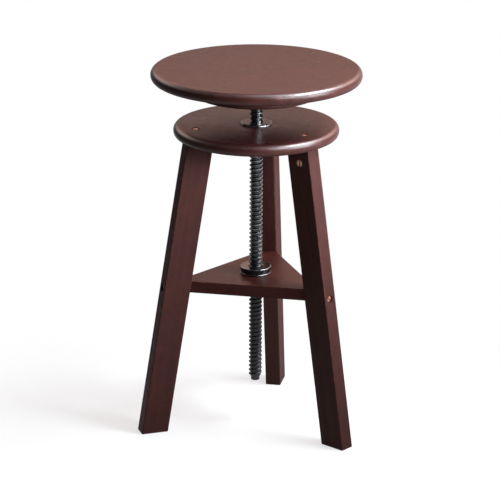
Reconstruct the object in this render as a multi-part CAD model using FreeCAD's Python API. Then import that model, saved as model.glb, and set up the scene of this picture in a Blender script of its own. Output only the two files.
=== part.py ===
import FreeCAD, Part
import math
import os

# Artist stool: a round seat on a coarse screw, over three splayed legs, a top disc and a shelf.
# Millimetres. +Z is the screw's axis, z = 0 is the floor, and the back leg points along +Y.

# Seat, and the cleat under it
seat_diameter = 330.0
seat_thickness = 19.0
seat_top_height = 584.5
edge_land = 1.0               # flat band at the middle of a bullnose edge
cleat_diameter = 200.0
cleat_thickness = 22.0
cleat_edge_round = 5.0
cleat_top_round = 1.0

# Top disc of the base
disc_diameter = 260.0
disc_thickness = 19.0
disc_top_height = 495.5

# Legs
leg_angles = {"leg_back": 90.0, "leg_left": 210.0, "leg_right": 330.0}
leg_thickness = 25.0
leg_width = 43.0              # square to the leg's slope
leg_splay = 9.3               # degrees off the vertical
leg_top_inset = 13.5          # top disc's rim to a leg's outer face, under the disc
leg_edge_round = 1.5
foot_chamfer = 1.0

# Shelf between the legs
shelf_thickness = 19.0
shelf_top_height = 250.0
shelf_inset = 0.3             # shelf edge behind a leg's side face
shelf_edge_round = 1.0

# Lead screw: right-hand, one start
screw_diameter = 21.0
thread_depth = 2.3
thread_pitch = 7.0
thread_crest = 1.6
thread_root = 1.8
thread_gap = 0.35             # between the screw's thread and the nut's, on every side
thread_lead_in = 1.0          # bevel of the first turn, past the root and past the crest
ridge_sink = 0.6              # root of the swept ridge inside the core
max_turns = 6                 # turns swept in one length
join_tolerance = 0.001        # between two lengths
screw_tip_height = 68.0
tip_length = 6.0
tip_step = 1.2                # tip's radius under the thread's root
tip_chamfer = 1.0
thread_in_cleat = 4.0         # how far the thread runs up into the cleat
cleat_bore_gap = 0.5

# Plate on the screw's top end
plate_diameter = 90.0
plate_thickness = 4.0
plate_gap = 0.5               # around the plate, in the cleat's recess
spigot_step = 1.2             # spigot's radius under the thread's root

# Round fittings in the top disc and the shelf
sleeve_wall = 3.0
bush_wall = 2.0
running_gap = 0.3             # between the bush and what is round it
lip_gap = 1.1                 # between the screw and a lip that it passes
lip_thickness = 2.0
flange_overhang = 8.95        # flange radius beyond its sleeve
flange_thickness = 3.0
flange_bevel = 1.6
washer_overhang = 8.5
washer_thickness = 2.5
washer_chamfer = 0.6
ring_nut_wall = 8.0
ring_nut_height = 9.0
ring_chamfer = 0.8

# Bolts and barrel nuts
bolt_diameter = 6.0
bolt_head_diameter = 10.0
bolt_head_height = 6.0
socket_width = 5.0            # across the flats of the hexagon
socket_depth = 3.0
head_sink = 1.2               # head's top below the wood
head_gap = 0.75               # around a head, in its counterbore
bolt_hole_gap = 0.4           # around a shank, in wood
bolt_ease = 0.6               # bevel on a bolt's head and end
bolt_end = 4.0                # shank past a barrel nut
barrel_diameter = 12.0
barrel_ease = 0.5
barrel_back_wall = 4.0        # wood left behind a barrel nut
barrel_sink = 0.8             # barrel nut's end below the wood
barrel_slot_width = 1.6
barrel_slot_depth = 1.5
leg_barrel_drop = 24.5        # leg's top to its barrel nut
shelf_barrel_reach = 30.0     # leg's inner face to the shelf's barrel nut

# Dowels between the legs and the top disc
dowel_diameter = 8.0
dowel_in_disc = 12.0
dowel_in_leg = 18.0
dowel_chamfer = 1.0

# Wood screws, with their bite into the seat
plate_screw = {"count": 4, "circle": 32.0, "shank_r": 2.0, "head_r": 3.9, "bite": 12.0}
cleat_screw = {"count": 6, "circle": 76.0, "shank_r": 2.5, "head_r": 4.8, "bite": 12.0}
screw_point = 4.0             # length of a wood screw's point
recess_width = 1.0            # cross recess in a wood screw's head
recess_depth = 1.8
recess_rim = 1.5              # head left round the recess

fit_gap = 0.05                # around what is pressed, driven or screwed into its hole

origin = FreeCAD.Vector(0, 0, 0)
up = FreeCAD.Vector(0, 0, 1)
radial = FreeCAD.Vector(1, 0, 0)
sideways = FreeCAD.Vector(0, 1, 0)

# Levels
seat_bottom = seat_top_height - seat_thickness
cleat_bottom = seat_bottom - cleat_thickness
plate_bottom = seat_bottom - plate_thickness
disc_bottom = disc_top_height - disc_thickness
shelf_bottom = shelf_top_height - shelf_thickness
shelf_middle = shelf_bottom + shelf_thickness / 2
thread_bottom = screw_tip_height + tip_length
thread_top = cleat_bottom + thread_in_cleat
leg_barrel_height = disc_bottom - leg_barrel_drop

# Radii of the screw and of what it runs in
screw_r = screw_diameter / 2
root_r = screw_r - thread_depth
bush_inner_r = screw_r + thread_gap
bush_outer_r = bush_inner_r + bush_wall
sleeve_bore_r = bush_outer_r + running_gap
sleeve_r = sleeve_bore_r + sleeve_wall
flange_r = sleeve_r + flange_overhang
washer_r = sleeve_r + washer_overhang
ring_r = sleeve_r + ring_nut_wall
lip_bore_r = screw_r + lip_gap
sleeve_end = washer_thickness + ring_nut_height - lip_thickness   # board's face to a ring nut's lip

# Legs, along the floor
leg_slope = math.tan(math.radians(leg_splay))
leg_depth = leg_width / math.cos(math.radians(leg_splay))


def point(x, z):
    return FreeCAD.Vector(x, 0, z)


def outer_face(z):
    """Radius of a leg's outer face at a height."""
    return disc_diameter / 2 - leg_top_inset + (disc_bottom - z) * leg_slope


def inner_face(z):
    return outer_face(z) - leg_depth


# Bolted joints
bolt_r = bolt_diameter / 2
bolt_hole_r = bolt_r + bolt_hole_gap
head_hole_r = bolt_head_diameter / 2 + head_gap
barrel_r = barrel_diameter / 2
counterbore = bolt_head_height + head_sink
leg_bolt_circle = outer_face(leg_barrel_height) - leg_depth / 2
leg_bolt_length = disc_top_height - counterbore - leg_barrel_height + barrel_r + bolt_end
leg_barrel_length = leg_thickness - barrel_back_wall - barrel_sink
shelf_bolt_seat = outer_face(shelf_middle) - counterbore
shelf_barrel_circle = inner_face(shelf_middle) - shelf_barrel_reach
shelf_bolt_length = shelf_bolt_seat - shelf_barrel_circle + barrel_r + bolt_end
shelf_barrel_length = shelf_thickness - barrel_back_wall - barrel_sink
dowel_low = disc_bottom - dowel_in_leg
dowel_length = dowel_in_leg + dowel_in_disc
dowel_circle = (leg_bolt_circle - bolt_hole_r + inner_face(dowel_low)) / 2   # midway in the wood left


def turned(corners):
    """Solid of revolution about +Z from (radius, height) corners."""
    outline = [point(r, z) for r, z in corners]
    return Part.Face(Part.makePolygon(outline + outline[:1])).revolve(origin, up, 360)


def round_board(radius, low, high, round_low, round_high):
    """Disc with a rounded lower and upper edge."""
    bend = math.sqrt(0.5)
    start = point(radius - round_low, low)
    side_low = point(radius, low + round_low)
    side_high = point(radius, high - round_high)
    end = point(radius - round_high, high)
    middle_low = point(radius - round_low * (1 - bend), low + round_low * (1 - bend))
    middle_high = point(radius - round_high * (1 - bend), high - round_high * (1 - bend))
    edges = [
        Part.LineSegment(point(0, low), start),
        Part.Arc(start, middle_low, side_low),
        Part.LineSegment(side_low, side_high),
        Part.Arc(side_high, middle_high, end),
        Part.LineSegment(end, point(0, high)),
        Part.LineSegment(point(0, high), point(0, low)),
    ]
    return Part.Face(Part.Wire([edge.toShape() for edge in edges])).revolve(origin, up, 360)


def spun(shape, angle):
    return shape.rotated(origin, up, angle)


def at_legs(shape):
    """The shape, made for a leg along +X, once at each leg."""
    return [spun(shape, angle) for angle in leg_angles.values()]


def ring_of(shape, count):
    return [spun(shape, 360 * i / count) for i in range(count)]


def cylinder(radius, start, direction, length):
    return Part.makeCylinder(radius, length, start, direction)


def threaded_bar(core_r, crest_r, crest, low, high):
    """Right-hand thread on a core, longer than low to high, in step with the lead screw's thread."""
    slope = (thread_pitch - thread_crest - thread_root) / 2 / thread_depth
    inner_r = core_r - ridge_sink
    half_in = crest / 2 + slope * (crest_r - inner_r)
    corners = [
        point(inner_r, -half_in),
        point(crest_r, -crest / 2),
        point(crest_r, crest / 2),
        point(inner_r, half_in),
    ]
    start = thread_bottom + thread_pitch * (math.floor((low - thread_bottom) / thread_pitch) - 1)
    turns = math.ceil((high - start) / thread_pitch) + 1
    lengths = math.ceil(turns / max_turns)
    length_turns = math.ceil(turns / lengths)
    length = length_turns * thread_pitch
    swept = length + 2 * thread_pitch
    spine = Part.Wire(Part.makeHelix(thread_pitch, swept, core_r).Edges)
    ridge = spine.makePipeShell([Part.makePolygon(corners + corners[:1])], True, True)
    bar = Part.makeCylinder(core_r, swept).fuse(ridge)
    bar = bar.common(Part.makeCylinder(2 * crest_r, length, point(0, thread_pitch)))
    bar.translate(point(0, start - thread_pitch))
    more = [bar.translated(point(0, i * length)) for i in range(1, lengths)]
    return bar.fuse(more, join_tolerance) if more else bar


def socket_bolt(length):
    """Cap bolt along +Z: head below z = 0, shank above it."""
    head_r = bolt_head_diameter / 2
    bolt = turned([
        (0, -bolt_head_height),
        (head_r - bolt_ease, -bolt_head_height),
        (head_r, -bolt_head_height + bolt_ease),
        (head_r, 0),
        (bolt_r, 0),
        (bolt_r, length - bolt_ease),
        (bolt_r - bolt_ease, length),
        (0, length),
    ])
    corner = FreeCAD.Vector(socket_width / math.sqrt(3), 0, -bolt_head_height)
    corners = [vertex.Point for vertex in ring_of(Part.Vertex(corner), 6)]
    socket = Part.Face(Part.makePolygon(corners + corners[:1])).extrude(up * socket_depth)
    return bolt.cut(socket)


def barrel_nut(length):
    """Cross dowel along +Z from z = 0, with a slot in its outer end at z = 0."""
    nut = turned([
        (0, 0),
        (barrel_r - barrel_ease, 0),
        (barrel_r, barrel_ease),
        (barrel_r, length - barrel_ease),
        (barrel_r - barrel_ease, length),
        (0, length),
    ])
    slot = Part.makeBox(2 * barrel_diameter, barrel_slot_width, barrel_slot_depth)
    slot.translate(FreeCAD.Vector(-barrel_diameter, -barrel_slot_width / 2, 0))
    return nut.cut(slot)


def wood_screw(kind, through, gap):
    """Countersunk screw along +Z with its head flush at z = 0; with a gap, the hole that it sits in."""
    shank = kind["shank_r"] + gap
    head = kind["head_r"] + gap
    length = through + kind["bite"] + gap
    screw = turned([(0, 0), (head, 0), (shank, head - shank), (shank, length - screw_point), (0, length)])
    if gap:
        return screw
    for turn in (0, 90):
        reach = head - recess_rim
        arm = Part.makeBox(2 * reach, recess_width, recess_depth)
        arm.translate(FreeCAD.Vector(-reach, -recess_width / 2, 0))
        screw = screw.cut(spun(arm, turn))
    return screw


def wood_screws(kind, head_level, through, gap):
    screw = wood_screw(kind, through, gap)
    screw.translate(FreeCAD.Vector(kind["circle"], 0, head_level))
    return ring_of(screw, kind["count"])


def seat():
    edge = (seat_thickness - edge_land) / 2
    board = round_board(seat_diameter / 2, seat_bottom, seat_top_height, edge, edge)
    holes = wood_screws(plate_screw, plate_bottom, plate_thickness, fit_gap)
    holes += wood_screws(cleat_screw, cleat_bottom, cleat_thickness, fit_gap)
    return board.cut(holes)


def seat_cleat():
    board = round_board(cleat_diameter / 2, cleat_bottom, seat_bottom, cleat_edge_round, cleat_top_round)
    bore = cylinder(screw_r + cleat_bore_gap, point(0, cleat_bottom), up, cleat_thickness)
    recess = cylinder(plate_diameter / 2 + plate_gap, point(0, plate_bottom), up, plate_thickness)
    return board.cut([bore, recess] + wood_screws(cleat_screw, cleat_bottom, cleat_thickness, fit_gap))


def lead_screw():
    outside_r = screw_r + thread_lead_in
    bevel_r = root_r - thread_lead_in
    trim = turned([
        (0, thread_bottom),
        (bevel_r, thread_bottom),
        (outside_r, thread_bottom + outside_r - bevel_r),
        (outside_r, thread_top),
        (0, thread_top),
    ])
    thread = threaded_bar(root_r, screw_r, thread_crest, thread_bottom, thread_top).common(trim)
    tip_r = root_r - tip_step
    tip = turned([
        (0, screw_tip_height),
        (tip_r - tip_chamfer, screw_tip_height),
        (tip_r, screw_tip_height + tip_chamfer),
        (tip_r, thread_bottom),
        (0, thread_bottom),
    ])
    shank = cylinder(root_r, point(0, thread_top), up, plate_bottom - thread_top)
    spigot = cylinder(root_r - spigot_step, point(0, plate_bottom), up, plate_thickness)
    return thread.fuse([tip, shank, spigot])


def screw_plate():
    plate = cylinder(plate_diameter / 2, point(0, plate_bottom), up, plate_thickness)
    bore = cylinder(root_r - spigot_step + fit_gap, point(0, plate_bottom), up, plate_thickness)
    return plate.cut([bore] + wood_screws(plate_screw, plate_bottom, plate_thickness, fit_gap))


def leg_joint_holes():
    """Bolt hole, counterbore and dowel hole through the top disc and into a leg along +X."""
    bolt_seat = point(leg_bolt_circle, disc_top_height - counterbore)
    shank = cylinder(bolt_hole_r, bolt_seat, -up, leg_bolt_length)
    head = cylinder(head_hole_r, bolt_seat, up, counterbore)
    peg = cylinder(dowel_diameter / 2 + fit_gap, point(dowel_circle, dowel_low), up, dowel_length)
    return [shank, head, peg]


def shelf_joint_holes():
    """Bolt hole and counterbore through a leg along +X and into the shelf."""
    bolt_seat = point(shelf_bolt_seat, shelf_middle)
    shank = cylinder(bolt_hole_r, bolt_seat, -radial, shelf_bolt_length)
    head = cylinder(head_hole_r, bolt_seat, radial, 2 * counterbore)
    return [shank, head]


def base_top_disc():
    edge = (disc_thickness - edge_land) / 2
    board = round_board(disc_diameter / 2, disc_bottom, disc_top_height, edge, edge)
    bore = cylinder(sleeve_r + fit_gap, point(0, disc_bottom), up, disc_thickness)
    holes = [copy for each in leg_joint_holes() for copy in at_legs(each)]
    return board.cut([bore] + holes)


def leg():
    """One leg along +X, with its holes."""
    floor = 0.0
    outline = [
        point(inner_face(floor), floor),
        point(outer_face(floor), floor),
        point(outer_face(disc_bottom), disc_bottom),
        point(inner_face(disc_bottom), disc_bottom),
    ]
    bar = Part.Face(Part.makePolygon(outline + outline[:1])).extrude(sideways * leg_thickness)
    bar.translate(sideways * (-leg_thickness / 2))
    long_edges = [e for e in bar.Edges if e.BoundBox.ZLength > disc_bottom / 2]
    bar = bar.makeFillet(leg_edge_round, long_edges)
    foot_edges = [e for e in bar.Edges if e.BoundBox.ZMax < foot_chamfer / 2]
    bar = bar.makeChamfer(foot_chamfer, foot_edges)
    barrel_start = FreeCAD.Vector(leg_bolt_circle, -leg_thickness / 2, leg_barrel_height)
    barrel = cylinder(barrel_r + fit_gap, barrel_start, sideways, leg_thickness - barrel_back_wall)
    return bar.cut([barrel] + leg_joint_holes() + shelf_joint_holes())


def shelf():
    side = (inner_face(shelf_top_height) + math.sqrt(3) * (leg_thickness / 2 - shelf_inset)) / 2
    corner = FreeCAD.Vector(2 * side, 0, shelf_bottom)
    outline = [spun(Part.Vertex(corner), angle).Point for angle in leg_angles.values()]
    board = Part.Face(Part.makePolygon(outline + outline[:1])).extrude(up * shelf_thickness)
    flat_edges = [e for e in board.Edges if e.BoundBox.ZLength < shelf_thickness / 2]
    board = board.makeFillet(shelf_edge_round, flat_edges)
    beyond = [
        point(inner_face(shelf_bottom), shelf_bottom),
        point(inner_face(shelf_top_height), shelf_top_height),
        point(4 * side, shelf_top_height),
        point(4 * side, shelf_bottom),
    ]
    wedge = Part.Face(Part.makePolygon(beyond + beyond[:1])).extrude(sideways * 4 * side)
    wedge.translate(sideways * (-2 * side))
    barrel_start = point(shelf_barrel_circle, shelf_bottom)
    barrel = cylinder(barrel_r + fit_gap, barrel_start, up, shelf_thickness - barrel_back_wall)
    cuts = [copy for each in [wedge, barrel] + shelf_joint_holes() for copy in at_legs(each)]
    bore = cylinder(sleeve_r + fit_gap, point(0, shelf_bottom), up, shelf_thickness)
    return board.cut(cuts + [bore])


def flanged_sleeve(board):
    """Outside of a sleeve that hangs from its flange at z = 0, through a board and a ring nut."""
    end = -(board + sleeve_end - running_gap)
    return turned([
        (0, end),
        (sleeve_r, end),
        (sleeve_r, 0),
        (flange_r, 0),
        (flange_r, flange_thickness - flange_bevel),
        (flange_r - flange_bevel, flange_thickness),
        (0, flange_thickness),
    ])


def upper_flange_nut():
    blank = flanged_sleeve(disc_thickness)
    blank.translate(point(0, disc_top_height))
    box = blank.BoundBox
    crest = thread_crest + 2 * thread_gap
    return blank.cut(threaded_bar(root_r + thread_gap, screw_r + thread_gap, crest, box.ZMin, box.ZMax))


def flipped(shape, level):
    """The shape turned over about a level axis, with its z = 0 at the level given."""
    return shape.rotated(origin, radial, 180).translated(point(0, level))


def shelf_sleeve():
    sleeve = flipped(flanged_sleeve(shelf_thickness), shelf_bottom)
    box = sleeve.BoundBox
    bore = cylinder(sleeve_bore_r, point(0, shelf_bottom), up, box.ZMax - shelf_bottom)
    mouth = cylinder(lip_bore_r, point(0, box.ZMin), up, box.ZLength)
    return sleeve.cut([bore, mouth])


def washer():
    bore_r = sleeve_r + fit_gap
    return turned([
        (bore_r, 0),
        (washer_r, 0),
        (washer_r, washer_thickness - washer_chamfer),
        (washer_r - washer_chamfer, washer_thickness),
        (bore_r, washer_thickness),
    ])


def ring_nut():
    """Ring nut that stands on its washer at z = 0, with a lip at its top."""
    bore_r = sleeve_r + fit_gap
    lip = ring_nut_height - lip_thickness
    return turned([
        (bore_r, 0),
        (ring_r - ring_chamfer, 0),
        (ring_r, ring_chamfer),
        (ring_r, ring_nut_height - ring_chamfer),
        (ring_r - ring_chamfer, ring_nut_height),
        (lip_bore_r + ring_chamfer, ring_nut_height),
        (lip_bore_r, ring_nut_height - ring_chamfer),
        (lip_bore_r, lip),
        (bore_r, lip),
    ])


def guide_bush():
    top = shelf_top_height + sleeve_end - running_gap
    return turned([
        (bush_inner_r, shelf_bottom),
        (bush_outer_r, shelf_bottom),
        (bush_outer_r, top),
        (bush_inner_r, top),
    ])


def leg_bolt():
    bolt = flipped(socket_bolt(leg_bolt_length), disc_top_height - counterbore)
    return bolt.translated(radial * leg_bolt_circle)


def leg_barrel_nut():
    nut = barrel_nut(leg_barrel_length).rotated(origin, radial, -90)
    nut.translate(FreeCAD.Vector(leg_bolt_circle, barrel_sink - leg_thickness / 2, leg_barrel_height))
    bore = cylinder(bolt_r + fit_gap, point(leg_bolt_circle, disc_bottom), -up, 2 * leg_barrel_drop)
    return nut.cut(bore)


def leg_dowel():
    r = dowel_diameter / 2
    peg = turned([
        (0, 0),
        (r - dowel_chamfer, 0),
        (r, dowel_chamfer),
        (r, dowel_length - dowel_chamfer),
        (r - dowel_chamfer, dowel_length),
        (0, dowel_length),
    ])
    return peg.translated(point(dowel_circle, dowel_low))


def shelf_bolt():
    bolt = socket_bolt(shelf_bolt_length).rotated(origin, sideways, -90)
    return bolt.translated(point(shelf_bolt_seat, shelf_middle))


def shelf_barrel_nut():
    nut = barrel_nut(shelf_barrel_length).translated(point(shelf_barrel_circle, shelf_bottom + barrel_sink))
    bore = cylinder(bolt_r + fit_gap, point(shelf_bolt_seat, shelf_middle), -radial, shelf_bolt_length)
    return nut.cut(bore)


parts = {
    "seat": seat(),
    "seat_cleat": seat_cleat(),
    "lead_screw": lead_screw(),
    "screw_plate": screw_plate(),
    "plate_screws": Part.makeCompound(wood_screws(plate_screw, plate_bottom, plate_thickness, 0)),
    "cleat_screws": Part.makeCompound(wood_screws(cleat_screw, cleat_bottom, cleat_thickness, 0)),
    "base_top_disc": base_top_disc(),
    "upper_flange_nut": upper_flange_nut(),
    "upper_washer": flipped(washer(), disc_bottom),
    "upper_ring_nut": flipped(ring_nut(), disc_bottom - washer_thickness),
    "shelf": shelf(),
    "shelf_sleeve": shelf_sleeve(),
    "shelf_washer": washer().translated(point(0, shelf_top_height)),
    "shelf_ring_nut": ring_nut().translated(point(0, shelf_top_height + washer_thickness)),
    "guide_bush": guide_bush(),
    "leg_bolts": Part.makeCompound(at_legs(leg_bolt())),
    "leg_barrel_nuts": Part.makeCompound(at_legs(leg_barrel_nut())),
    "leg_dowels": Part.makeCompound(at_legs(leg_dowel())),
    "shelf_bolts": Part.makeCompound(at_legs(shelf_bolt())),
    "shelf_barrel_nuts": Part.makeCompound(at_legs(shelf_barrel_nut())),
}
plain_leg = leg()
for name, angle in leg_angles.items():
    parts[name] = spun(plain_leg, angle)

os.makedirs("parts", exist_ok=True)
for name, shape in parts.items():
    shape.exportStep("parts/" + name + ".step")
    state = "valid" if shape.isValid() else "not valid"
    print(name, len(shape.Solids), "solids", round(shape.Volume), "mm3", state)
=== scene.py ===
import bmesh
import bpy
import math
from mathutils import Matrix, Vector


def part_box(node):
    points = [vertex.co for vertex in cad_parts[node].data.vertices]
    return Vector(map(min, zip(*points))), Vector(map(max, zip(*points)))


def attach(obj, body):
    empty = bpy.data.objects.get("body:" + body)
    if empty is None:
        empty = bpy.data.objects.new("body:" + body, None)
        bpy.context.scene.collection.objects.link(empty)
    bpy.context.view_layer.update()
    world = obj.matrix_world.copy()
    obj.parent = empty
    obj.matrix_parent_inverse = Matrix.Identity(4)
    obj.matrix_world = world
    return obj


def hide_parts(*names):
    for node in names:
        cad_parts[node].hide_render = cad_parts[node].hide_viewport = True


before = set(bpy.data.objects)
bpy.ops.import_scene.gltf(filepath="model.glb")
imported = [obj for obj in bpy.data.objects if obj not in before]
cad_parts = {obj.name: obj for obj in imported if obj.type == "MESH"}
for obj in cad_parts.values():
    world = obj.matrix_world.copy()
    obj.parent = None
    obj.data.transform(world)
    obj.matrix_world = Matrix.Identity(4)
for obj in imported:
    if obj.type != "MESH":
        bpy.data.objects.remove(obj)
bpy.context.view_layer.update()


# node maths

def plug(tree, node, sockets):  # wires are linked, plain values are set
    for key, value in sockets.items():
        if isinstance(value, Wire):
            tree.links.new(value.socket, node.inputs[key])
        else:
            node.inputs[key].default_value = value


def addNode(tree, kind, settings, sockets):
    node = tree.nodes.new(kind)
    for key, value in settings.items():  # first, because they change a node's sockets
        setattr(node, key, value)
    plug(tree, node, sockets)
    return node


class Wire:  # one output socket, so that node maths reads as arithmetic
    def __init__(self, tree, socket):
        self.tree = tree
        self.socket = socket

    def node(self, kind, settings=None, sockets=None, out=0):
        made = addNode(self.tree, kind, settings or {}, sockets or {})
        return Wire(self.tree, made.outputs[out])

    def maths(self, operation, *others):
        sockets = dict(enumerate((self, *others)))
        return self.node("ShaderNodeMath", {"operation": operation}, sockets)

    def __add__(self, other):
        return self.maths("ADD", other)

    def __sub__(self, other):
        return self.maths("SUBTRACT", other)

    def __rsub__(self, other):
        return self.node("ShaderNodeMath", {"operation": "SUBTRACT"}, {0: other, 1: self})

    def __mul__(self, other):
        return self.maths("MULTIPLY", other)

    def __truediv__(self, other):
        return self.maths("DIVIDE", other)

    __radd__ = __add__
    __rmul__ = __mul__

    def between(self, low, high):  # 0 below low, 1 above high, smooth in the middle
        sockets = {"Value": self, "From Min": low, "From Max": high}
        return self.node("ShaderNodeMapRange", {"interpolation_type": "SMOOTHSTEP"}, sockets)

    def tint(self, low, high):  # low's colour at 0, high's at 1
        return self.node("ShaderNodeMix", {"data_type": "RGBA"}, {0: self, 6: low, 7: high}, 2)

    def stretch(self, scales):
        return self.node("ShaderNodeVectorMath", {"operation": "MULTIPLY"}, {0: self, 1: scales})

    def noise(self, scales, detail=2.0, rough=0.5):  # scales are counts a metre, one or three
        if not isinstance(scales, tuple):
            scales = (scales,) * 3
        sockets = {"Vector": self.stretch(scales), "Scale": 1.0, "Detail": detail, "Roughness": rough}
        return self.node("ShaderNodeTexNoise", {}, sockets)

    def painted(self, name):  # a number kept on the mesh
        return self.node("ShaderNodeAttribute", {"attribute_name": name}, {}, 2)

    def parts(self):
        split = addNode(self.tree, "ShaderNodeSeparateXYZ", {}, {0: self})
        return [Wire(self.tree, socket) for socket in split.outputs]

    def reach(self):  # distance from the upright axis
        x, y = self.parts()[:2]
        return (x * x + y * y).maths("SQRT")


def mixed(shares, waves):
    return sum(share * waves[key] for key, share in shares.items())


def bumped(height, depth):  # depth in metres
    sockets = {"Height": height, "Distance": depth, "Strength": 1.0}
    return height.node("ShaderNodeBump", {}, sockets)


def startMaterial(name):
    material = bpy.data.materials.new(name)
    material.use_nodes = True
    tree = material.node_tree
    tree.nodes.clear()
    shader = addNode(tree, "ShaderNodeBsdfPrincipled", {}, {})
    output = addNode(tree, "ShaderNodeOutputMaterial", {}, {})
    tree.links.new(shader.outputs[0], output.inputs[0])
    place = Wire(tree, addNode(tree, "ShaderNodeTexCoord", {}, {}).outputs["Object"])
    return material, shader, place


# stained wood

stain = {
    "pale": (0.062, 0.0172, 0.0136, 1.0),
    "deep": (0.029, 0.0078, 0.0062, 1.0),
    "toneRange": (0.40, 0.76),  # from deep to pale
    "pore": (0.013, 0.0036, 0.0029, 1.0),
    "poreRange": (0.62, 0.74),
    "poreShare": 0.65,
    "rubbed": (0.130, 0.050, 0.034, 1.0),  # thin stain on the edges
    "rubRange": (0.46, 0.66),
    "rubShare": 0.55,
    "ring": 0.0085,  # width of a year's growth
    "ringLean": 0.45,
    "ringSway": 0.05,
    "coat": 0.02,
    "rimCoat": 0.86,  # built-up lacquer on the bullnoses
    "coatGloss": 0.37,
    "coatIndex": 2.3,
    "dull": 0.4,  # how much rougher an underside is
}
woodScale = {  # one number, or along, across and through the grain
    "sway": (1.6, 9.0, 9.0),
    "streak": (3.5, 110.0, 110.0),
    "fibre": (18.0, 650.0, 650.0),
    "pore": (70.0, 1700.0, 1700.0),
    "blotch": 11.0,
    "mottle": 85.0,
    "rub": 160.0,
    "peel": 340.0,
}
toneShare = {"growth": 0.05, "streak": 0.26, "fibre": 0.24, "blotch": 0.27, "mottle": 0.34}
glossShare = {"blotch": 0.10, "fibre": 0.06, "rub": 0.12, "mottle": 0.24, "streak": 0.20}
reliefShare = {"fibre": 0.5, "pore": -0.8, "peel": 0.35}
boardFinish = {"gloss": 0.30, "specular": 0.155, "relief": 0.00006}
shelfFinish = {"gloss": 0.34, "specular": 0.09, "relief": 0.00003}
legFinish = {"gloss": 0.68, "specular": 0.17, "relief": 0.00007}


def stainedWood(name, turn, shift, finish, dull=None):  # turn carries +X onto the grain
    material, shader, place = startMaterial(name)
    sockets = {"Vector": place, "Location": shift, "Rotation": turn}
    grain = place.node("ShaderNodeMapping", {"vector_type": "TEXTURE"}, sockets)
    across, inward = grain.parts()[1:]
    sway = grain.noise(woodScale["sway"])
    years = across + stain["ringLean"] * inward + stain["ringSway"] * sway
    growth = (years * (2 * math.pi / stain["ring"])).maths("SINE") * 0.5 + 0.5
    streak = grain.noise(woodScale["streak"], 3.0, 0.6)
    fibre = grain.noise(woodScale["fibre"])
    pore = grain.noise(woodScale["pore"], 1.0).between(*stain["poreRange"])
    blotch = place.noise(woodScale["blotch"], 3.0, 0.55)
    mottle = place.noise(woodScale["mottle"], 3.0, 0.6)
    peel = place.noise(woodScale["peel"], 1.0)
    rub = place.painted("wear") * place.noise(woodScale["rub"], 3.0).between(*stain["rubRange"])
    waves = {"growth": growth, "streak": streak, "fibre": fibre, "blotch": blotch, "mottle": mottle}
    colour = mixed(toneShare, waves).between(*stain["toneRange"]).tint(stain["deep"], stain["pale"])
    colour = (stain["poreShare"] * pore).tint(colour, stain["pore"])
    colour = (stain["rubShare"] * rub).tint(colour, stain["rubbed"])
    swings = {key: waves[key] - 0.5 for key in ("blotch", "mottle", "streak")}
    gloss = finish["gloss"] + mixed(glossShare, {**swings, "fibre": fibre, "rub": rub})
    if dull:  # heights over which a dull underside gives way to the glossy top
        gloss = gloss + stain["dull"] * (1.0 - place.parts()[2].between(*dull))
    relief = mixed(reliefShare, {"fibre": fibre, "pore": pore, "peel": peel})
    coat = stain["coat"] + (stain["rimCoat"] - stain["coat"]) * place.painted("polish")
    plug(place.tree, shader, {
        "Base Color": colour,
        "Roughness": gloss,
        "Normal": bumped(relief, finish["relief"]),
        "Specular IOR Level": finish["specular"],
        "Coat Weight": coat * (1.0 - rub),
        "Coat Roughness": stain["coatGloss"],
        "Coat IOR": stain["coatIndex"],
    })
    return material


# metals, nylon and bare wood

steel = {
    "black": (0.046, 0.048, 0.051, 1.0),
    "scale": (0.013, 0.0135, 0.0142, 1.0),
    # the oxide colour is raised as painted light, so that the screw's top, shaded by the seat, shows
    # lighter
    "oxideAndLight": (0.085, 0.089, 0.094, 1.0),
    "bare": (0.520, 0.540, 0.565, 1.0),
    "gloss": 0.27,
    "cloud": 120.0,
    "tool": (2600.0, 2600.0, 1.0),
    "relief": 0.000012,
}
turnedShare = {"cloud": 0.05, "tool": 0.04, "bright": 0.8}  # bare metal that shows through
screwSkin = {
    "gloss": 0.42,
    "cloud": 150.0,
    "scratch": (420.0, 420.0, 2600.0),
    "relief": 0.00002,
    "workedAndLit": (0.20, 0.52),  # heights, from the darker lower end to the length that runs in the nut; the lighter top is also painted light, where the seat shades the screw
    "rubbed": (0.20, 0.42),
    "rubDepth": 0.55,  # share of the thread's depth that stays dark
}
screwShare = {"cloud": 0.06, "scratch": 0.06, "bright": 0.55}


def turnedSteel(name):  # blackened, with fine rings from the lathe
    material, shader, place = startMaterial(name)
    rings = place.node("ShaderNodeCombineXYZ", {}, {0: place.reach(), 1: place.parts()[2]})
    tool = rings.noise(steel["tool"])
    cloud = place.noise(steel["cloud"], 3.0, 0.6)
    bright = place.painted("wear") * cloud.between(0.35, 0.6)
    shown = mixed(turnedShare, {"cloud": cloud, "tool": tool, "bright": bright})
    plug(place.tree, shader, {
        "Base Color": shown.tint(steel["black"], steel["bare"]),
        "Metallic": 1.0,
        "Roughness": steel["gloss"] + 0.16 * (cloud - 0.5) + 0.08 * tool,
        "Normal": bumped(tool, steel["relief"]),
    })
    return material


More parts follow.
